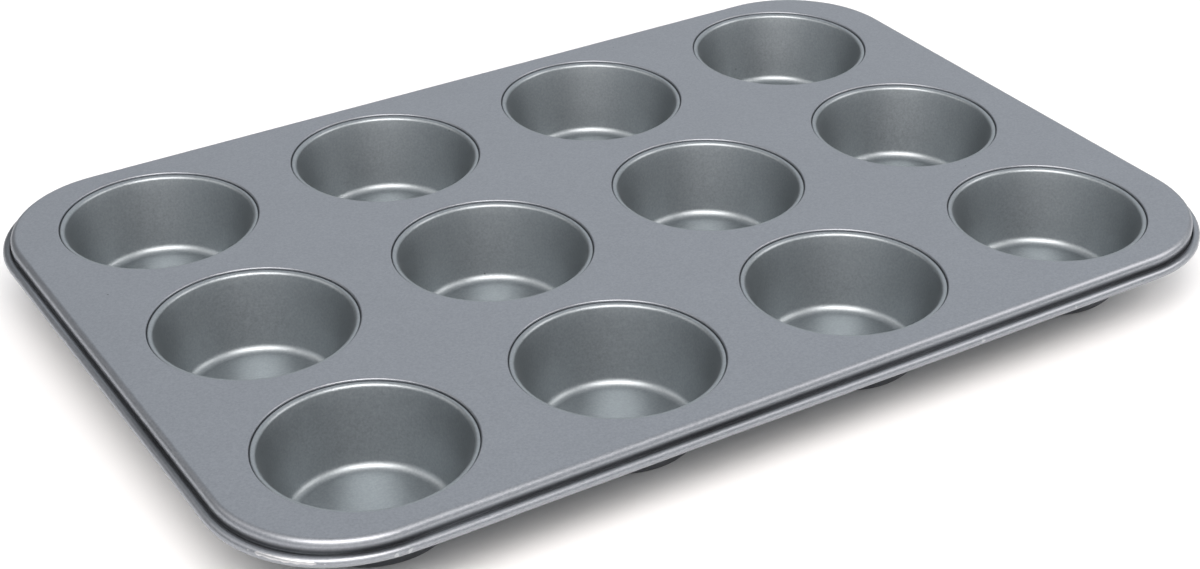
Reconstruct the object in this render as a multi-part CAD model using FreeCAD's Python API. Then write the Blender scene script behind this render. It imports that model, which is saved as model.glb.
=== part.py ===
import FreeCAD, Part
import math
import os

# Muffin tin: one pressed steel plate, twelve drawn cups seamed into it from below, and one
# steel wire rolled into the plate's edge. Millimetres. Z = 0 is the level that the cups stand
# on, +Z is up, +X runs along the long side, and the origin is below the middle of the plate.

# Cup layout
COLUMNS = 4                   # cups along X
ROWS = 3                      # cups along Y
HOLE_RADIUS = 37.0            # of the plate's hole, at its turned-down collar
LAND_X = 20.7                 # plate left between two holes, along X
LAND_Y = 12.4                 # plate left between two holes, along Y
END_LAND = 17.55              # from a hole to the skirt, at the two ends
SIDE_LAND = 10.5              # from a hole to the skirt, at the two long sides

# Sheet and wire
PLATE_SHEET = 0.5
CUP_SHEET = 0.5
WIRE_DIAMETER = 2.6
WIRE_CLEARANCE = 0.05         # all round the wire, inside the rolled edge
WIRE_END_GAP = 1.0            # between the wire's two ends, at the middle of the back

# Plate's edge
SHOULDER_INSIDE = 2.0         # radius inside the bend from the top into the skirt
PLATE_CORNER_RADIUS = 45.0    # of the skirt's outer face, in plan
RIM_CORNER_EASE = 1.35        # how much tighter the rolled edge is bent than the skirt, in plan
RIM_DROP = 6.3                # from the plate's top down to the wire's centre
CURL_END_GAP = 0.4            # from the rolled edge's free end to the skirt

# Seam between the plate and a cup
HOLE_EDGE_INSIDE = 0.1        # radius inside the bend from the plate's top into the collar
COLLAR_HEIGHT = 3.8           # from the plate's top to the flange's underside
COLLAR_FOOT_INSIDE = 0.4      # radius inside the bend from the collar into the flange
FLANGE_WIDTH = 3.1            # from the hole to the flange's free edge
SEAM_GAP = 0.12               # between the collar and the cup's neck
HOOK_CLEARANCE = 0.15         # past the flange's free edge, inside the cup's hook
HOOK_LAP = 1.2                # how far the cup's hook reaches back over the flange

# Cup
CUP_DEPTH = 29.4              # from the plate's top to the cup's floor, inside
LIP_DROP = 0.7                # from the plate's top down to the lip's crest
NECK_EDGE_INSIDE = 0.1        # radius inside the bend from the lip's crest into the neck
LIP_INSIDE = 1.1              # radius inside the bend from the lip's crest into the wall
WALL_SLOPE = 14.5             # degrees from upright
FLOOR_FILLET = 3.7            # inside, between the wall and the floor

# Worked out from the sizes above. Each bend's outside radius is its inside plus the sheet.
SHOULDER_RADIUS = SHOULDER_INSIDE + PLATE_SHEET
HOLE_EDGE_RADIUS = HOLE_EDGE_INSIDE + PLATE_SHEET
COLLAR_FOOT_RADIUS = COLLAR_FOOT_INSIDE + PLATE_SHEET
NECK_EDGE_RADIUS = NECK_EDGE_INSIDE + CUP_SHEET
LIP_RADIUS = LIP_INSIDE + CUP_SHEET
PITCH_X = 2 * HOLE_RADIUS + LAND_X
PITCH_Y = 2 * HOLE_RADIUS + LAND_Y
SKIRT_X = (COLUMNS - 1) * PITCH_X / 2 + HOLE_RADIUS + END_LAND
SKIRT_Y = (ROWS - 1) * PITCH_Y / 2 + HOLE_RADIUS + SIDE_LAND
WIRE_RADIUS = WIRE_DIAMETER / 2
CURL_INNER = WIRE_RADIUS + WIRE_CLEARANCE
CURL_OUTER = CURL_INNER + PLATE_SHEET
RIM_CORNER_RADIUS = PLATE_CORNER_RADIUS + CURL_INNER - RIM_CORNER_EASE
RIM_X = SKIRT_X + CURL_INNER
RIM_Y = SKIRT_Y + CURL_INNER
TOP = CUP_DEPTH + CUP_SHEET
RIM_Z = TOP - RIM_DROP
UP = FreeCAD.Vector(0, 0, 1)


def point(across, height):
    """A point of an upright profile, drawn in the XZ plane."""
    return FreeCAD.Vector(across, 0, height)


def line(start, end):
    return Part.LineSegment(point(*start), point(*end)).toShape()


def arc(centre, radius, first, last):
    """An arc of an upright profile, from one angle to another, in degrees."""
    places = []
    for angle in (first, (first + last) / 2, last):
        turn = math.radians(angle)
        across = centre[0] + radius * math.cos(turn)
        height = centre[1] + radius * math.sin(turn)
        places.append(point(across, height))
    return Part.Arc(*places).toShape()


def profile(edges):
    """A closed profile from edges that follow each other."""
    return Part.Face(Part.Wire(edges))


def turned(face):
    """A profile turned all the way round the Z axis."""
    return face.revolve(FreeCAD.Vector(0, 0, 0), UP, 360)


def rounded_outline(half_x, half_y, radius, height):
    """A flat rectangle with round corners, about the Z axis, as a wire."""
    straight_x = half_x - radius
    straight_y = half_y - radius
    edges = []
    for quarter in range(4):
        sign_x = (1, -1, -1, 1)[quarter]
        sign_y = (1, 1, -1, -1)[quarter]
        centre = FreeCAD.Vector(sign_x * straight_x, sign_y * straight_y, height)
        first = 90 * quarter
        corner = Part.Circle(centre, UP, radius)
        edges.append(Part.Arc(corner, math.radians(first), math.radians(first + 90)).toShape())
    for quarter in range(4):
        start = edges[quarter].Vertexes[-1].Point
        end = edges[(quarter + 1) % 4].Vertexes[0].Point
        edges.append(Part.LineSegment(start, end).toShape())
    return Part.Wire(Part.__sortEdges__(edges))


def run_round(face, half_x, half_y, radius):
    """A profile run round a rectangle with round corners, as its four sides and corners.

    The profile lies in the XZ plane, with X counted outwards from the rectangle's outline.
    """
    straight_x = half_x - radius
    straight_y = half_y - radius
    pieces = []
    for quarter in range(4):
        sign_x = (1, -1, -1, 1)[quarter]
        sign_y = (1, 1, -1, -1)[quarter]
        corner = face.copy()
        corner.translate(FreeCAD.Vector(radius, 0, 0))
        corner.rotate(FreeCAD.Vector(0, 0, 0), UP, 90 * quarter)
        corner = corner.revolve(FreeCAD.Vector(0, 0, 0), UP, 90)
        corner.translate(FreeCAD.Vector(sign_x * straight_x, sign_y * straight_y, 0))
        pieces.append(corner)
    for quarter in range(4):
        along = straight_y if quarter % 2 == 0 else straight_x
        across = half_x if quarter % 2 == 0 else half_y
        side = face.copy()
        side.translate(FreeCAD.Vector(across, -along, 0))
        side = side.extrude(FreeCAD.Vector(0, 2 * along, 0))
        side.rotate(FreeCAD.Vector(0, 0, 0), UP, 90 * quarter)
        pieces.append(side)
    return pieces


def joined(pieces):
    """Pieces that meet face to face, as one solid."""
    whole = pieces[0].multiFuse(pieces[1:])
    whole = whole.removeSplitter()
    return whole.Solids[0]


def cup_places():
    """Each cup's name and its centre, row by row from the front."""
    places = []
    for row in range(ROWS):
        for column in range(COLUMNS):
            name = "cup_row%d_column%d" % (row + 1, column + 1)
            x = (column - (COLUMNS - 1) / 2) * PITCH_X
            y = (row - (ROWS - 1) / 2) * PITCH_Y
            places.append((name, x, y))
    return places


def plate_web():
    """The flat of the plate, with its twelve holes."""
    outline = rounded_outline(
        SKIRT_X - SHOULDER_RADIUS,
        SKIRT_Y - SHOULDER_RADIUS,
        PLATE_CORNER_RADIUS - SHOULDER_RADIUS,
        TOP - PLATE_SHEET,
    )
    web = Part.Face(outline).extrude(FreeCAD.Vector(0, 0, PLATE_SHEET))
    for name, x, y in cup_places():
        middle = FreeCAD.Vector(x, y, 0)
        hole = Part.makeCylinder(HOLE_RADIUS + HOLE_EDGE_RADIUS, TOP, middle)
        web = web.cut(hole)
    return web


def hole_collar():
    """The plate's edge round a hole: turned down into a collar, then out into a flange."""
    top_centre = (HOLE_RADIUS + HOLE_EDGE_RADIUS, TOP - HOLE_EDGE_RADIUS)
    foot = TOP - COLLAR_HEIGHT
    foot_centre = (HOLE_RADIUS + COLLAR_FOOT_RADIUS, foot + COLLAR_FOOT_RADIUS)
    back = HOLE_RADIUS + PLATE_SHEET
    edge = HOLE_RADIUS + FLANGE_WIDTH
    return turned(profile([
        arc(top_centre, HOLE_EDGE_RADIUS, 90, 180),
        line((HOLE_RADIUS, top_centre[1]), (HOLE_RADIUS, foot_centre[1])),
        arc(foot_centre, COLLAR_FOOT_RADIUS, 180, 270),
        line((foot_centre[0], foot), (edge, foot)),
        line((edge, foot), (edge, foot + PLATE_SHEET)),
        line((edge, foot + PLATE_SHEET), (foot_centre[0], foot + PLATE_SHEET)),
        arc(foot_centre, COLLAR_FOOT_INSIDE, 270, 180),
        line((back, foot_centre[1]), (back, top_centre[1])),
        arc(top_centre, HOLE_EDGE_INSIDE, 180, 90),
        line((top_centre[0], TOP - PLATE_SHEET), (top_centre[0], TOP)),
    ]))


def skirt_pieces():
    """The shoulder, the skirt, and the first quarter of the roll, under the wire."""
    shoulder_z = TOP - SHOULDER_RADIUS
    shoulder = (-SHOULDER_RADIUS, shoulder_z)
    roll = (CURL_INNER, RIM_Z)
    return run_round(profile([
        arc(shoulder, SHOULDER_RADIUS, 90, 0),
        line((0, shoulder_z), (0, RIM_Z)),
        arc(roll, CURL_INNER, 180, 270),
        line((CURL_INNER, RIM_Z - CURL_INNER), (CURL_INNER, RIM_Z - CURL_OUTER)),
        arc(roll, CURL_OUTER, 270, 180),
        line((-PLATE_SHEET, RIM_Z), (-PLATE_SHEET, shoulder_z)),
        arc(shoulder, SHOULDER_INSIDE, 0, 90),
        line((-SHOULDER_RADIUS, TOP - PLATE_SHEET), (-SHOULDER_RADIUS, TOP)),
    ]), SKIRT_X, SKIRT_Y, PLATE_CORNER_RADIUS)


def corner_ledge():
    """The flat under the wire at the corners, where the roll leaves the skirt."""
    height = RIM_Z - CURL_OUTER
    outer = rounded_outline(RIM_X, RIM_Y, RIM_CORNER_RADIUS, height)
    inner = rounded_outline(RIM_X, RIM_Y, PLATE_CORNER_RADIUS + CURL_INNER, height)
    lift = FreeCAD.Vector(0, 0, PLATE_SHEET)
    ledge = Part.Face(outer).extrude(lift).cut(Part.Face(inner).extrude(lift))
    return ledge.Solids


def roll_pieces():
    """The rest of the roll: out from under the wire, up, over it and back to the skirt."""
    middle = (0, RIM_Z)
    reach = math.degrees(math.acos((CURL_END_GAP - CURL_INNER) / CURL_OUTER))
    end = math.radians(reach)
    end_inner = (CURL_INNER * math.cos(end), RIM_Z + CURL_INNER * math.sin(end))
    end_outer = (CURL_OUTER * math.cos(end), RIM_Z + CURL_OUTER * math.sin(end))
    return run_round(profile([
        arc(middle, CURL_OUTER, -90, reach),
        line(end_outer, end_inner),
        arc(middle, CURL_INNER, reach, -90),
        line((0, RIM_Z - CURL_INNER), (0, RIM_Z - CURL_OUTER)),
    ]), RIM_X, RIM_Y, RIM_CORNER_RADIUS)


def make_plate():
    pieces = [plate_web()]
    for name, x, y in cup_places():
        collar = hole_collar()
        collar.translate(FreeCAD.Vector(x, y, 0))
        pieces.append(collar)
    pieces += skirt_pieces()
    pieces += corner_ledge()
    pieces += roll_pieces()
    return joined(pieces)


def make_rim_wire():
    """One length of round wire, bent to the rim, with its two ends butted at the back."""
    section = Part.Face(Part.Wire(Part.Circle(
        point(0, RIM_Z), FreeCAD.Vector(0, 1, 0), WIRE_RADIUS).toShape()))
    loop = joined(run_round(section, RIM_X, RIM_Y, RIM_CORNER_RADIUS))
    butt = Part.makeBox(WIRE_END_GAP, 2 * WIRE_DIAMETER, 2 * WIRE_DIAMETER)
    butt.translate(FreeCAD.Vector(-WIRE_END_GAP / 2, RIM_Y - WIRE_DIAMETER, RIM_Z - WIRE_DIAMETER))
    return loop.cut(butt).Solids[0]


def make_cup():
    """One drawn cup: floor, wall, lip, neck down inside the collar, and hook under the plate."""
    sheet = CUP_SHEET
    crest = TOP - LIP_DROP
    neck = HOLE_RADIUS - SEAM_GAP
    crest_r = neck - NECK_EDGE_RADIUS
    slope = math.radians(WALL_SLOPE)
    # lip: the wall leaves the lip's round where the round is as steep as the wall
    lip = (crest_r, crest - LIP_RADIUS)
    wall_r = lip[0] - LIP_RADIUS * math.cos(slope)
    wall_z = lip[1] + LIP_RADIUS * math.sin(slope)
    out_r = wall_r + sheet * math.cos(slope)
    out_z = wall_z - sheet * math.sin(slope)
    # floor: its fillet touches the floor and the sloping wall
    fillet_z = sheet + FLOOR_FILLET
    run = (wall_z - fillet_z) * math.tan(slope)
    fillet_r = wall_r - run - FLOOR_FILLET / math.cos(slope)
    inner_end = (fillet_r + FLOOR_FILLET * math.cos(slope), fillet_z - FLOOR_FILLET * math.sin(slope))
    outside = FLOOR_FILLET + sheet
    outer_end = (fillet_r + outside * math.cos(slope), fillet_z - outside * math.sin(slope))
    # neck and hook round the collar's flange
    lap = TOP - COLLAR_HEIGHT
    foot = (neck + COLLAR_FOOT_RADIUS, lap + COLLAR_FOOT_RADIUS)
    bend_in = PLATE_SHEET / 2
    bend = (HOLE_RADIUS + FLANGE_WIDTH + HOOK_CLEARANCE, lap + bend_in)
    hook_end = HOLE_RADIUS + FLANGE_WIDTH - HOOK_LAP
    hook_low = lap + PLATE_SHEET
    neck_edge = (crest_r, crest - NECK_EDGE_RADIUS)
    return turned(profile([
        line((0, sheet), (fillet_r, sheet)),
        arc((fillet_r, fillet_z), FLOOR_FILLET, -90, -WALL_SLOPE),
        line(inner_end, (wall_r, wall_z)),
        arc(lip, LIP_RADIUS, 180 - WALL_SLOPE, 90),
        arc(neck_edge, NECK_EDGE_RADIUS, 90, 0),
        line((neck, neck_edge[1]), (neck, foot[1])),
        arc(foot, COLLAR_FOOT_RADIUS, 180, 270),
        line((foot[0], lap), (bend[0], lap)),
        arc(bend, bend_in, -90, 90),
        line((bend[0], hook_low), (hook_end, hook_low)),
        line((hook_end, hook_low), (hook_end, hook_low + sheet)),
        line((hook_end, hook_low + sheet), (bend[0], hook_low + sheet)),
        arc(bend, bend_in + sheet, 90, -90),
        line((bend[0], lap - sheet), (foot[0], lap - sheet)),
        arc(foot, COLLAR_FOOT_RADIUS + sheet, 270, 180),
        line((neck - sheet, foot[1]), (neck - sheet, neck_edge[1])),
        arc(neck_edge, NECK_EDGE_INSIDE, 0, 90),
        arc(lip, LIP_INSIDE, 90, 180 - WALL_SLOPE),
        line((out_r, out_z), outer_end),
        arc((fillet_r, fillet_z), outside, -WALL_SLOPE, -90),
        line((fillet_r, 0), (0, 0)),
        line((0, 0), (0, sheet)),
    ]))


def main():
    os.makedirs("parts", exist_ok=True)
    make_plate().exportStep("parts/top_plate.step")
    make_rim_wire().exportStep("parts/rim_wire.step")
    cup = make_cup()
    for name, x, y in cup_places():
        placed = cup.copy()
        placed.translate(FreeCAD.Vector(x, y, 0))
        placed.exportStep("parts/%s.step" % name)


main()
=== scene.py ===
import math

import bmesh
import bpy
from mathutils import Matrix, Vector


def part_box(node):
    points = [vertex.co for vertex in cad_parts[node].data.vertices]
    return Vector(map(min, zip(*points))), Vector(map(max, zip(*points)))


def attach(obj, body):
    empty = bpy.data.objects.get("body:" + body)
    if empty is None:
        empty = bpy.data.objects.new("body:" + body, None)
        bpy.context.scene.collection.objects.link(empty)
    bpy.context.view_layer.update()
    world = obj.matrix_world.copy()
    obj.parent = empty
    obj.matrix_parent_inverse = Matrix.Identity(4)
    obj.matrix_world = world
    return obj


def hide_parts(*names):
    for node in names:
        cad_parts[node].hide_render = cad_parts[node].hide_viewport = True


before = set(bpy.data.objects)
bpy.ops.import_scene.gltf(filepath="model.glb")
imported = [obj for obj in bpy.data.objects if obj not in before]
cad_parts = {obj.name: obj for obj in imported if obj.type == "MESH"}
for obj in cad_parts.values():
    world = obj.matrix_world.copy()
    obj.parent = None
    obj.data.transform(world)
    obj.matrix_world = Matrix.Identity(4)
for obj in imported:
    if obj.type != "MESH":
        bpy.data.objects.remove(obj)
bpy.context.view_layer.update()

# Camera. It looks down on the tin from its left front, close enough that the far cups look
# smaller. The tin stands on the floor at z = 0 and fills the frame.
camera_data = bpy.data.cameras.new("camera")
camera_data.lens = 67.836
camera_data.sensor_width = 36
camera = bpy.data.objects.new("camera", camera_data)
camera.location = (-0.38564, -0.63263, 0.44141)
camera.rotation_euler = (math.radians(59.19087), math.radians(0.44079), math.radians(-31.52237))
bpy.context.scene.collection.objects.link(camera)
bpy.context.scene.camera = camera

# Studio. A white floor in a bright room that is dimmer at the back on the left. Soft boxes hang
# high and low behind the camera and stand to its right and left, and a large, weak panel stands
# at the back. The floor is clear from below, so that the tin's underside can be seen.
room_colour = (0.93, 0.96, 1.0)
lamp_colour = (1.0, 0.94, 0.9)
room_light = 0.62
corner_light = 0.25
dim_corner = (-0.484, 0.805, 0.342)
dim_from, dim_to = 0.7, 0.95    # how nearly a direction points at the dim corner
floor_colour = (0.86, 0.865, 0.87)
floor_drop = 0.0002             # keeps the floor apart from the cups' undersides
bpy.context.scene.view_settings.view_transform = "Standard"
world = bpy.data.worlds.new("studio")
world.use_nodes = True
sky = world.node_tree
sky.nodes["Background"].inputs["Color"].default_value = (*room_colour, 1)
toward = sky.nodes.new("ShaderNodeVectorMath")
toward.operation = "DOT_PRODUCT"
toward.inputs[1].default_value = dim_corner
dim = sky.nodes.new("ShaderNodeMapRange")
dim.inputs["From Min"].default_value = dim_from
dim.inputs["From Max"].default_value = dim_to
dim.inputs["To Min"].default_value = room_light
dim.inputs["To Max"].default_value = corner_light
sky.links.new(sky.nodes.new("ShaderNodeTexCoord").outputs["Generated"], toward.inputs[0])
sky.links.new(toward.outputs["Value"], dim.inputs["Value"])
sky.links.new(dim.outputs["Result"], sky.nodes["Background"].inputs["Strength"])
bpy.context.scene.world = world


def soft_box(name, azimuth, elevation, distance, width, height, radiance, colour=lamp_colour):
    """A rectangular area light that faces the tin, placed by its angles in degrees about it."""
    data = bpy.data.lights.new(name, "AREA")
    data.shape = "RECTANGLE"
    data.size = width
    data.size_y = height
    data.energy = radiance * math.pi * width * height
    data.color = colour
    light = bpy.data.objects.new(name, data)
    turn, lift = math.radians(azimuth), math.radians(elevation)
    level = math.cos(lift)
    away = Vector((level * math.cos(turn), level * math.sin(turn), math.sin(lift)))
    light.location = away * distance
    light.rotation_euler = away.to_track_quat("Z", "Y").to_euler()
    bpy.context.scene.collection.objects.link(light)
    return light


soft_box("back_panel", 55, 38, 2.0, 3.0, 1.9, 0.38, room_colour)
soft_box("high_box", 238.5, 62, 1.5, 0.9, 0.7, 3.25)
soft_box("wide_box", 238.5, 50, 1.5, 1.6, 0.5, 6.6)
soft_box("right_box", -30, 35, 1.6, 0.8, 0.8, 3.4)
soft_box("left_box", 150, 38, 1.6, 0.8, 0.8, 1.3)
soft_box("low_front_box", 238.5, 25, 1.8, 1.6, 0.6, 0.94)

bpy.ops.object.select_all(action="DESELECT")
bpy.ops.mesh.primitive_plane_add(size=8, location=(0, 0, -floor_drop))
floor = bpy.context.object
floor.name = "floor"
floor_paint = bpy.data.materials.new("floor_paint")
floor_paint.use_nodes = True
paint = floor_paint.node_tree
floor_shader = paint.nodes["Principled BSDF"]
floor_shader.inputs["Base Color"].default_value = (*floor_colour, 1)
floor_shader.inputs["Roughness"].default_value = 0.9
mix = paint.nodes.new("ShaderNodeMixShader")
paint.links.new(paint.nodes.new("ShaderNodeNewGeometry").outputs["Backfacing"], mix.inputs[0])
paint.links.new(floor_shader.outputs[0], mix.inputs[1])
paint.links.new(paint.nodes.new("ShaderNodeBsdfTransparent").outputs[0], mix.inputs[2])
paint.links.new(mix.outputs[0], paint.nodes["Material Output"].inputs["Surface"])
floor.data.materials.append(floor_paint)

# Cups. Each is one coated steel blank drawn into a tapered round cup, with a rounded lip at the
# mouth. Its neck goes down inside the plate's collar and is hooked round the collar's flange,
# which locks the cup in. One cup is drawn ring by ring, then copied to each cup's place.
plate_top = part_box("top_plate")[1].z
hole_radius = 0.037
seam_gap = 0.00012
cup_sheet = 0.0005
lip_drop = 0.0007
lip_radius = 0.0016
neck_edge_radius = 0.0006
wall_slope = math.radians(14.5)
floor_fillet = 0.0037
collar_height = 0.0038
collar_foot_radius = 0.0009
flange_width = 0.0031
plate_sheet = 0.0005
hook_clearance = 0.00015
hook_lap = 0.0012
turns = 96
sharp_from = math.radians(40)


def bend(centre, radius, first, last, steps):
    """Points of an arc of a profile, as (radius from the axis, height), without its first one."""
    points = []
    for step in range(1, steps + 1):
        angle = first + (last - first) * step / steps
        points.append((centre[0] + radius * math.cos(angle), centre[1] + radius * math.sin(angle)))
    return points


def draw_rings(start, path):
    """Extrudes the selected ring from one point of a profile to the next."""
    radius, height = start
    for next_radius, next_height in path:
        rise = (0, 0, next_height - height)
        bpy.ops.mesh.extrude_region_move(TRANSFORM_OT_translate={"value": rise})
        grow = next_radius / radius
        bpy.ops.transform.resize(value=(grow, grow, 1), center_override=(0, 0, next_height))
        radius, height = next_radius, next_height


def place_of(cup_name):
    """The move that takes a shape drawn about the origin to a cup's place."""
    low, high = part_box(cup_name)
    return Matrix.Translation(((low.x + high.x) / 2, (low.y + high.y) / 2, 0))


quarter = math.pi / 2
crest = plate_top - lip_drop
neck = hole_radius - seam_gap
crest_r = neck - neck_edge_radius
lip_centre = (crest_r, crest - lip_radius)
wall_r = lip_centre[0] - lip_radius * math.cos(wall_slope)
wall_z = lip_centre[1] + lip_radius * math.sin(wall_slope)
fillet_z = cup_sheet + floor_fillet
run = (wall_z - fillet_z) * math.tan(wall_slope)
fillet_r = wall_r - run - floor_fillet / math.cos(wall_slope)
fillet_centre = (fillet_r, fillet_z)
edge_centre = (crest_r, crest - neck_edge_radius)
flange_z = plate_top - collar_height
flange_r = hole_radius + flange_width
foot_centre = (neck + collar_foot_radius, flange_z + collar_foot_radius)
bend_in = plate_sheet / 2
hook_centre = (flange_r + hook_clearance, flange_z + bend_in)
hook_end = flange_r - hook_lap
middle_r = 0.001    # of the small face that closes the middle of the floor
floor_rings = [fillet_r * share for share in (0.2, 0.4, 0.6, 0.8, 1.0)]
wall_rings = [share / 8 for share in range(1, 8)]

inner_low = (
    fillet_r + floor_fillet * math.cos(wall_slope),
    fillet_z - floor_fillet * math.sin(wall_slope),
)
outer_low = (
    fillet_r + (floor_fillet + cup_sheet) * math.cos(wall_slope),
    fillet_z - (floor_fillet + cup_sheet) * math.sin(wall_slope),
)
outer_high = (
    wall_r + cup_sheet * math.cos(wall_slope),
    wall_z - cup_sheet * math.sin(wall_slope),
)


def between(low, high, share):
    """The point that lies the given share of the way from one point of a profile to another."""
    return (low[0] + (high[0] - low[0]) * share, low[1] + (high[1] - low[1]) * share)


# from the middle of the floor up the inside, over the lip, down the neck and round the flange,
# then back the same way on the sheet's other face
path = [(radius, cup_sheet) for radius in floor_rings]
path += bend(fillet_centre, floor_fillet, -quarter, -wall_slope, 12)
path += [between(inner_low, (wall_r, wall_z), share) for share in wall_rings]
path += [(wall_r, wall_z)]
path += bend(lip_centre, lip_radius, math.pi - wall_slope, quarter, 10)
path += bend(edge_centre, neck_edge_radius, quarter, 0, 6)
path += [(neck, foot_centre[1])]
path += bend(foot_centre, collar_foot_radius, math.pi, 3 * quarter, 5)
path += [(hook_centre[0], flange_z)]
path += bend(hook_centre, bend_in, -quarter, quarter, 6)
path += [(hook_end, flange_z + plate_sheet), (hook_end, flange_z + plate_sheet + cup_sheet)]
path += [(hook_centre[0], flange_z + plate_sheet + cup_sheet)]
path += bend(hook_centre, bend_in + cup_sheet, quarter, -quarter, 8)
path += [(foot_centre[0], flange_z - cup_sheet)]
path += bend(foot_centre, collar_foot_radius + cup_sheet, 3 * quarter, math.pi, 6)
path += [(neck - cup_sheet, edge_centre[1])]
path += bend(edge_centre, neck_edge_radius - cup_sheet, 0, quarter, 3)
path += bend(lip_centre, lip_radius - cup_sheet, quarter, math.pi - wall_slope, 8)
path += [between(outer_high, outer_low, share) for share in wall_rings]
path += [outer_low]
path += bend(fillet_centre, floor_fillet + cup_sheet, -wall_slope, -quarter, 12)
path += [(radius, 0) for radius in reversed(floor_rings[:-1])]
path += [(middle_r, 0)]


def select_open_edges():
    """Selects the free edges of the mesh that is being edited."""
    bpy.ops.mesh.select_mode(type="EDGE")
    bpy.ops.mesh.select_all(action="DESELECT")
    bpy.ops.mesh.select_non_manifold(extend=False)


bpy.ops.object.select_all(action="DESELECT")
bpy.ops.mesh.primitive_circle_add(vertices=turns, radius=middle_r, location=(0, 0, 0))
cup = bpy.context.object
bpy.ops.object.mode_set(mode="EDIT")
bpy.ops.transform.translate(value=(0, 0, cup_sheet))
draw_rings((middle_r, cup_sheet), path)
select_open_edges()
bpy.ops.mesh.edge_face_add()
bpy.ops.mesh.select_all(action="SELECT")
bpy.ops.mesh.normals_make_consistent(inside=False)
bpy.ops.object.mode_set(mode="OBJECT")
bpy.ops.object.shade_smooth_by_angle(angle=sharp_from)

# The coating is sprayed on and baked, so it is finely grained, a little cloudy, and here and there
# has a speck. A shade mask darkens it, which is painted shade, and wear bares the metal. The cups
# and the plate share this group.
coating = bpy.data.node_groups.new("baked_coating", "ShaderNodeTree")
coating_inputs = (
    ("Place", "Vector"), ("Colour", "Color"), ("Roughness", "Float"), ("Cloud", "Float"),
    ("Painted Shade", "Float"), ("Worn", "Float"), ("Worn Colour", "Color"),
)
for label, kind in coating_inputs:
    coating.interface.new_socket(label, in_out="INPUT", socket_type="NodeSocket" + kind)
for label, kind in (("Colour", "Color"), ("Roughness", "Float"), ("Height", "Float")):
    coating.interface.new_socket(label, in_out="OUTPUT", socket_type="NodeSocket" + kind)


def node(tree, kind, settings=None, inputs=None, links=None):
    """A new node, with its settings, its socket values and the sockets that feed it."""
    new = tree.nodes.new(kind)
    for name, value in (settings or {}).items():
        setattr(new, name, value)
    for name, value in (inputs or {}).items():
        new.inputs[name].default_value = value
    for name, source in (links or {}).items():
        tree.links.new(source, new.inputs[name])
    return new


def spread(tree, source, low, high, to_low, to_high):
    """A value taken from one range to another, held at its ends."""
    return node(tree, "ShaderNodeMapRange", inputs={
        "From Min": low, "From Max": high, "To Min": to_low, "To Max": to_high,
    }, links={"Value": source}).outputs["Result"]


def reckon(tree, operation, *values):
    """A Math node's result. Each value is a number or the socket that gives it."""
    new = node(tree, "ShaderNodeMath", {"operation": operation})
    for index, value in enumerate(values):
        if isinstance(value, float):
            new.inputs[index].default_value = value
        else:
            tree.links.new(value, new.inputs[index])
    return new.outputs[0]


def noise(tree, place, scale, detail, roughness=0.5):
    """The value of a Noise Texture, which mostly lies between noise_low and noise_high."""
    look = {"Scale": scale, "Detail": detail, "Roughness": roughness}
    return node(tree, "ShaderNodeTexNoise", inputs=look, links={"Vector": place}).outputs["Fac"]


noise_low, noise_high = 0.3, 0.7
speck_inside, speck_outside = 0.018, 0.034
chance_low, chance_high = 0.78, 0.82    # about one cell in five has a speck
speck_tone = 0.45
painted_shade_tone = 0.3
grain_height_share = 0.35
wear_depth = -2.5
bare_steel = (0.5, 0.51, 0.53)
given = coating.nodes.new("NodeGroupInput").outputs
put = coating.nodes.new("NodeGroupOutput").inputs
grain = noise(coating, given["Place"], 1150.0, 2.0, 0.7)
peel = noise(coating, given["Place"], 420.0, 1.0)
cloud = noise(coating, given["Place"], 34.0, 4.0, 0.6)
cells = node(coating, "ShaderNodeTexVoronoi", inputs={"Scale": 85.0},
             links={"Vector": given["Place"]})
chance = node(coating, "ShaderNodeSeparateColor", links={"Color": cells.outputs["Color"]})
speck_shape = spread(coating, cells.outputs["Distance"], speck_inside, speck_outside, 1, 0)
speck_there = spread(coating, chance.outputs[0], chance_low, chance_high, 0, 1)
speck = reckon(coating, "MULTIPLY", speck_shape, speck_there)

grain_light = spread(coating, grain, noise_low, noise_high, 0.9, 1.1)
cloud_swing = spread(coating, cloud, noise_low, noise_high, -1, 1)
cloud_light = reckon(coating, "MULTIPLY_ADD", cloud_swing, given["Cloud"], 1.0)
speck_light = spread(coating, speck, 0, 1, 1, speck_tone)
# painted shade: where the shade mask is set, the colour is darkened
painted_shade_light = spread(coating, given["Painted Shade"], 0, 1, 1, painted_shade_tone)
even_light = reckon(coating, "MULTIPLY", grain_light, cloud_light)
mark_light = reckon(coating, "MULTIPLY", speck_light, painted_shade_light)
light = reckon(coating, "MULTIPLY", even_light, mark_light)
tinted = node(coating, "ShaderNodeVectorMath", {"operation": "SCALE"},
              links={0: given["Colour"], "Scale": light}).outputs[0]
mix_first, mix_second, mix_out = 6, 7, 2    # a Mix node's sockets for colours
worn = node(coating, "ShaderNodeMix", {"data_type": "RGBA"}, links={
    "Factor": given["Worn"], mix_first: tinted, mix_second: given["Worn Colour"]})
coating.links.new(worn.outputs[mix_out], put["Colour"])

rough_grain = spread(coating, grain, noise_low, noise_high, 0.92, 1.08)
rough_worn = spread(coating, given["Worn"], 0, 1, 1, 0.7)
rough = reckon(coating, "MULTIPLY", given["Roughness"], rough_grain)
coating.links.new(reckon(coating, "MULTIPLY", rough, rough_worn), put["Roughness"])

peel_height = spread(coating, peel, 0.2, 0.8, 0, 1)
grain_height = reckon(coating, "MULTIPLY_ADD", grain, grain_height_share, peel_height)
dent = reckon(coating, "MULTIPLY_ADD", given["Worn"], wear_depth, grain_height)
coating.links.new(dent, put["Height"])


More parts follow.
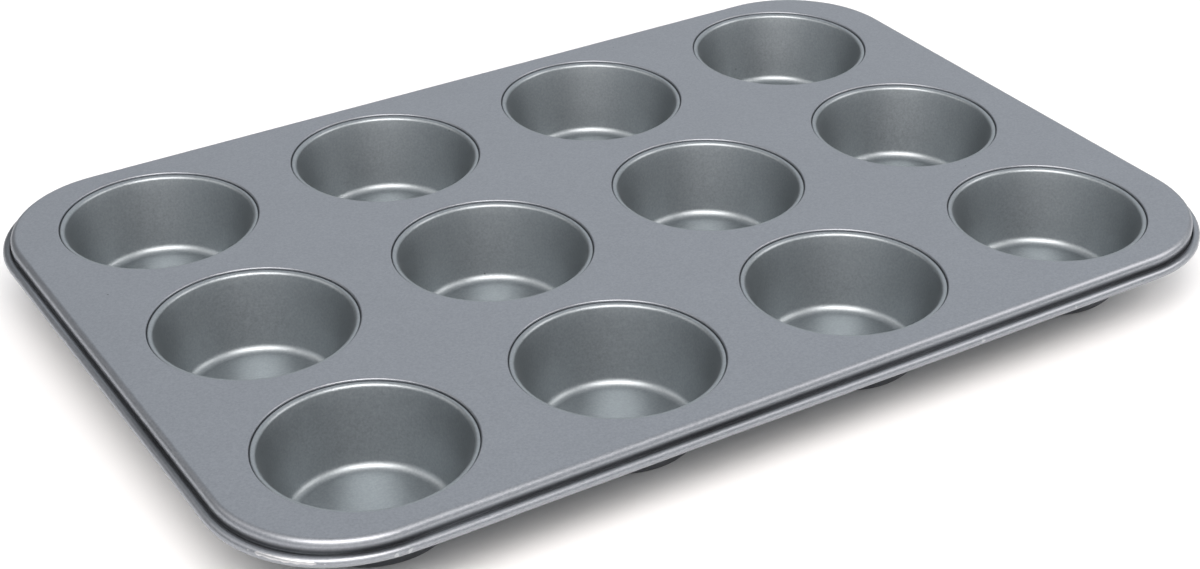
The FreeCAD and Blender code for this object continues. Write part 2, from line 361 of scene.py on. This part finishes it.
def coated(name, colour, roughness, cloudiness, worn=None, painted_shade=None):
    """A coated metal. worn and painted_shade are functions that build masks of bare metal and of
    painted shade.
    """
    material = bpy.data.materials.new(name)
    material.use_nodes = True
    tree = material.node_tree
    shader = tree.nodes["Principled BSDF"]
    shader.inputs["Metallic"].default_value = 1.0
    place = node(tree, "ShaderNodeTexCoord").outputs["Object"]
    finish = node(tree, "ShaderNodeGroup", {"node_tree": coating}, {
        "Colour": (*colour, 1), "Roughness": roughness, "Cloud": cloudiness,
        "Painted Shade": 0.0, "Worn": 0.0, "Worn Colour": (*bare_steel, 1),
    }, {"Place": place})
    if worn:
        tree.links.new(worn(tree, place), finish.inputs["Worn"])
    if painted_shade:
        tree.links.new(painted_shade(tree, place), finish.inputs["Painted Shade"])
    bump = node(tree, "ShaderNodeBump", inputs={"Strength": 0.12, "Distance": 0.00004},
                links={"Height": finish.outputs["Height"]})
    tree.links.new(finish.outputs["Colour"], shader.inputs["Base Color"])
    tree.links.new(finish.outputs["Roughness"], shader.inputs["Roughness"])
    tree.links.new(bump.outputs["Normal"], shader.inputs["Normal"])
    return material


# the outside is darker: painted shade, for the cups' undersides that lie in shade
cup_inside = coated(
    "cup_coating_finish", colour=(0.31, 0.336, 0.352), roughness=0.42, cloudiness=0.02)
cup_outside_painted_shade = coated(
    "cup_outside_painted_shade_finish", colour=(0.13, 0.138, 0.148), roughness=0.5, cloudiness=0.12)
cup.data.materials.append(cup_inside)
cup.data.materials.append(cup_outside_painted_shade)
mostly = 0.5
# faces that point down, or outward below the flange, take the darker copy: painted shade
for face in cup.data.polygons:
    outward = Vector((face.center.x, face.center.y, 0)).normalized().dot(face.normal)
    if face.normal.z < -mostly or (face.center.z < flange_z and outward > mostly):
        face.material_index = 1

for row in range(1, 4):
    for column in range(1, 5):
        stands_for = "cup_row%d_column%d" % (row, column)
        piece = cup.copy()
        piece.data = cup.data.copy()
        piece.name = stands_for + "_drawn"
        bpy.context.scene.collection.objects.link(piece)
        piece.data.transform(place_of(stands_for))
        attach(piece, "root")
        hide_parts(stands_for)
bpy.data.objects.remove(cup)

# Top plate. One coated steel sheet with twelve holes, each turned down into a collar with a
# flange at its foot, which the cup's hook holds. The outer edge is pressed down into a skirt and
# rolled all the way round a wire.
shoulder_radius = 0.0025
corner_radius = 0.045
rim_drop = 0.0063
hole_edge_radius = 0.0006
wire_radius = 0.0013
curl_inner = wire_radius + 0.00005
curl_outer = curl_inner + plate_sheet
curl_end_gap = 0.0004
plate_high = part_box("top_plate")[1]
skirt_x = plate_high.x - curl_inner - curl_outer
skirt_y = plate_high.y - curl_inner - curl_outer
straight_x = skirt_x - corner_radius
straight_y = skirt_y - corner_radius
rim_z = plate_top - rim_drop
corner_turns = 24
side_turns = 32
merge_within = 0.00002
hair = 0.00001

# the rim's profile is drawn on the right, then run along each side and round each corner
curl_reach = math.acos((curl_end_gap - curl_inner) / curl_outer)
shoulder = (skirt_x - shoulder_radius, plate_top - shoulder_radius)
profile = [(shoulder[0], plate_top)]
profile += bend(shoulder, shoulder_radius, quarter, 0, 10)
profile += [(skirt_x, (shoulder[1] + rim_z) / 2), (skirt_x, rim_z)]
profile += bend((skirt_x + curl_inner, rim_z), curl_inner, math.pi, 2 * math.pi + curl_reach, 30)

bpy.ops.object.select_all(action="DESELECT")
# a small plane is merged into the one point where the profile starts
across, height = profile[0]
bpy.ops.mesh.primitive_plane_add(size=0.001, location=(across, -straight_y, height))
plate = bpy.context.object
bpy.ops.object.transform_apply(location=True)
bpy.ops.object.mode_set(mode="EDIT")
bpy.ops.mesh.select_mode(type="VERT")
bpy.ops.mesh.select_all(action="SELECT")
bpy.ops.mesh.merge(type="CENTER")
bpy.ops.mesh.select_all(action="SELECT")
for next_across, next_height in profile[1:]:
    step = (next_across - across, 0, next_height - height)
    bpy.ops.mesh.extrude_region_move(TRANSFORM_OT_translate={"value": step})
    across, height = next_across, next_height
bpy.ops.mesh.select_all(action="SELECT")
for turn in range(4):
    way = Vector((0, 1, 0))
    way.rotate(Matrix.Rotation(turn * quarter, 3, "Z"))
    length = 2 * (straight_y if turn % 2 == 0 else straight_x)
    step = way * length / side_turns
    for _ in range(side_turns):
        bpy.ops.mesh.extrude_region_move(TRANSFORM_OT_translate={"value": step})
    corner = ((straight_x, straight_y, 0), (-straight_x, straight_y, 0),
              (-straight_x, -straight_y, 0), (straight_x, -straight_y, 0))[turn]
    bpy.ops.mesh.spin(steps=corner_turns, angle=-quarter, center=corner, axis=(0, 0, 1))
bpy.ops.mesh.select_all(action="SELECT")
bpy.ops.mesh.remove_doubles(threshold=merge_within)
bpy.ops.object.mode_set(mode="OBJECT")

# one collar is drawn up from its flange's free edge to the flat of the plate, then copied
foot = (hole_radius + collar_foot_radius, flange_z + collar_foot_radius)
top_edge = (hole_radius + hole_edge_radius, plate_top - hole_edge_radius)
path = [(foot[0], flange_z)]
path += bend(foot, collar_foot_radius, 3 * quarter, math.pi, 6)
path += [(hole_radius, top_edge[1])]
path += bend(top_edge, hole_edge_radius, math.pi, quarter, 6)
bpy.ops.object.select_all(action="DESELECT")
bpy.ops.mesh.primitive_circle_add(vertices=turns, radius=flange_r, location=(0, 0, 0))
collar = bpy.context.object
bpy.ops.object.mode_set(mode="EDIT")
bpy.ops.transform.translate(value=(0, 0, flange_z))
draw_rings((flange_r, flange_z), path)
bpy.ops.object.mode_set(mode="OBJECT")
collars = []
for row in range(1, 4):
    for column in range(1, 5):
        piece = collar.copy()
        piece.data = collar.data.copy()
        bpy.context.scene.collection.objects.link(piece)
        piece.data.transform(place_of("cup_row%d_column%d" % (row, column)))
        collars.append(piece)
bpy.data.objects.remove(collar)
bpy.ops.object.select_all(action="DESELECT")
for piece in collars:
    piece.select_set(True)
plate.select_set(True)
bpy.context.view_layer.objects.active = plate
bpy.ops.object.join()

# the flat of the plate fills what lies between the rim and the twelve collars
bpy.ops.object.mode_set(mode="EDIT")
select_open_edges()
sheet = bmesh.from_edit_mesh(plate.data)
for edge in sheet.edges:
    lower_end = min(vert.co.z for vert in edge.verts)
    edge.select_set(edge.select and lower_end > plate_top - hair)
sheet.select_flush_mode()
bmesh.update_edit_mesh(plate.data)
bpy.ops.mesh.fill(use_beauty=True)
bpy.ops.mesh.select_all(action="SELECT")
bpy.ops.mesh.normals_make_consistent(inside=False)
sheet = bmesh.from_edit_mesh(plate.data)
flat = max(sheet.faces, key=lambda face: face.calc_area())
if flat.normal.z < 0:
    bpy.ops.mesh.flip_normals()
bpy.ops.object.mode_set(mode="OBJECT")

# the rolled edge isn't dead straight: it dips and rises a little, most of all round the corners.
# Each wave has its place, how much it rises and how far it reaches.
waves = (
    (-0.188, -0.118, -0.00030, 0.030), (-0.160, -0.137, 0.00022, 0.018),
    (-0.128, -0.137, -0.00018, 0.026), (-0.1995, -0.045, 0.00015, 0.040),
    (-0.1995, 0.050, -0.00018, 0.035), (-0.040, -0.137, 0.00014, 0.045),
    (0.060, -0.137, -0.00016, 0.040), (0.150, -0.137, 0.00018, 0.030),
    (0.188, -0.118, -0.00025, 0.030), (0.1995, 0.020, 0.00016, 0.045),
    (0.188, 0.118, -0.00022, 0.030), (0.080, 0.137, 0.00016, 0.045),
    (-0.070, 0.137, -0.00015, 0.045), (-0.186, 0.120, 0.00020, 0.030),
)
skirt_slack = 0.0001    # only what lies further out than this belongs to the roll
grip = 0.004            # what lies this near to a wave's place moves by its full rise
roll_top = rim_z + curl_outer
bpy.ops.object.mode_set(mode="EDIT")
bpy.ops.mesh.select_mode(type="VERT")
bpy.ops.mesh.select_all(action="DESELECT")
sheet = bmesh.from_edit_mesh(plate.data)
for vert in sheet.verts:
    beyond_x = abs(vert.co.x) - straight_x
    beyond_y = abs(vert.co.y) - straight_y
    if beyond_x > 0 and beyond_y > 0:
        outside = math.hypot(beyond_x, beyond_y) - corner_radius
    else:
        outside = max(abs(vert.co.x) - skirt_x, abs(vert.co.y) - skirt_y)
    vert.select_set(outside < skirt_slack)
sheet.select_flush_mode()
bmesh.update_edit_mesh(plate.data)
bpy.ops.mesh.hide(unselected=False)
for x, y, rise, reach in waves:
    sheet = bmesh.from_edit_mesh(plate.data)
    roll = [vert for vert in sheet.verts if not vert.hide]
    nearest = min(roll, key=lambda vert: (vert.co.x - x) ** 2 + (vert.co.y - y) ** 2)
    bpy.ops.mesh.select_all(action="DESELECT")
    for vert in roll:
        if (vert.co.xy - nearest.co.xy).length < grip:
            vert.select_set(True)
    sheet.select_flush_mode()
    bmesh.update_edit_mesh(plate.data)
    bpy.ops.transform.translate(value=(0, 0, rise), use_proportional_edit=True,
                                proportional_edit_falloff="SMOOTH", proportional_size=reach)
bpy.ops.mesh.reveal(select=False)
bpy.ops.object.mode_set(mode="OBJECT")

# what is drawn so far is the sheet's upper face, and its thickness goes to the inside
wall = plate.modifiers.new("sheet", "SOLIDIFY")
wall.thickness = plate_sheet
wall.offset = -1
wall.use_even_offset = True
bpy.ops.object.modifier_apply(modifier="sheet")
bpy.ops.object.shade_smooth_by_angle(angle=sharp_from)
weight = plate.modifiers.new("flat_stays_flat", "WEIGHTED_NORMAL")
weight.keep_sharp = True
bpy.ops.object.modifier_apply(modifier="flat_stays_flat")


def rim_nicks(tree, place):
    """A few small knocks on the rolled edge, where the coating has come off."""
    nicks = (
        (-0.1837, -0.1262, 0.0249, 0.0009), (-0.1570, -0.1366, 0.0236, 0.0011),
        (-0.1525, -0.1368, 0.0238, 0.0013), (0.0700, -0.1369, 0.0240, 0.0010),
        (0.1120, -0.1369, 0.0236, 0.0008), (-0.1995, 0.0310, 0.0240, 0.0009),
        (0.1990, 0.0740, 0.0242, 0.0011), (-0.0480, 0.1368, 0.0240, 0.0010),
    )
    ragged = noise(tree, place, 700.0, 4.0)
    ragged_by = 0.0034                      # makes each knock's outline uneven
    bare_to, coated_from = 0.0011, 0.0015   # how far these lie past a knock's radius
    bareness = 0.7
    whole = None
    for x, y, z, radius in nicks:
        away = node(tree, "ShaderNodeVectorMath", {"operation": "DISTANCE"}, {1: (x, y, z)},
                    {0: place}).outputs["Value"]
        edge = reckon(tree, "MULTIPLY_ADD", ragged, ragged_by, away)
        mask = spread(tree, edge, radius + bare_to, radius + coated_from, bareness, 0)
        whole = reckon(tree, "MAXIMUM", whole, mask) if whole else mask
    return whole


def painted_groove_shade(tree, place):
    """Painted shade low on the skirt, in the groove behind the rolled edge."""
    start_fade = 0.0002
    thick_to, gone_by = 0.0008, 0.0022
    height = node(tree, "ShaderNodeSeparateXYZ", links={"Vector": place}).outputs["Z"]
    above_roll = spread(tree, height, roll_top - start_fade, roll_top + start_fade, 0, 1)
    below_shoulder = spread(tree, height, roll_top + thick_to, roll_top + gone_by, 1, 0)
    return reckon(tree, "MULTIPLY", above_roll, below_shoulder)


# underneath, the flat of the plate and the flanges are darker too: painted shade, as on the cups'
# outsides
# the upper finish darkens the groove behind the rolled edge with painted shade
plate_upper = coated("plate_coating_finish", colour=(0.30, 0.315, 0.34), roughness=0.42,
                     cloudiness=0.015, worn=rim_nicks, painted_shade=painted_groove_shade)
plate_underside_painted_shade = coated(
    "plate_underside_painted_shade_finish", colour=(0.16, 0.17, 0.182), roughness=0.5, cloudiness=0.08)
plate.data.materials.append(plate_upper)
plate.data.materials.append(plate_underside_painted_shade)
nearly_flat = 0.9
below_flange = 0.001
# faces that point down under the plate take the darker copy: painted shade
for face in plate.data.polygons:
    if face.normal.z < -nearly_flat and face.center.z > flange_z - below_flange:
        face.material_index = 1
plate.name = "top_plate_pressed"
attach(plate, "root")
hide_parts("top_plate")

# Rim wire. One length of bright round steel wire, bent to the tin's four corners and butted at
# the middle of the back. The plate's edge is rolled over it, which holds it and stiffens the tin.
# It lies hidden in the roll, so it keeps the mesh it came with.
dark_steel = (0.48, 0.48, 0.49)
light_steel = (0.64, 0.64, 0.65)
wire_steel = bpy.data.materials.new("rim_wire_steel_finish")
wire_steel.use_nodes = True
tree = wire_steel.node_tree
shader = tree.nodes["Principled BSDF"]
shader.inputs["Metallic"].default_value = 1.0
place = node(tree, "ShaderNodeTexCoord").outputs["Object"]
drawn = noise(tree, place, 900.0, 3.0)
ramp = node(tree, "ShaderNodeValToRGB", links={"Fac": drawn})
ramp.color_ramp.elements[0].color = (*dark_steel, 1)
ramp.color_ramp.elements[1].color = (*light_steel, 1)
tree.links.new(ramp.outputs["Color"], shader.inputs["Base Color"])
rough = spread(tree, drawn, noise_low, noise_high, 0.28, 0.42)
tree.links.new(rough, shader.inputs["Roughness"])
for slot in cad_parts["rim_wire"].material_slots:
    slot.material = wire_steel
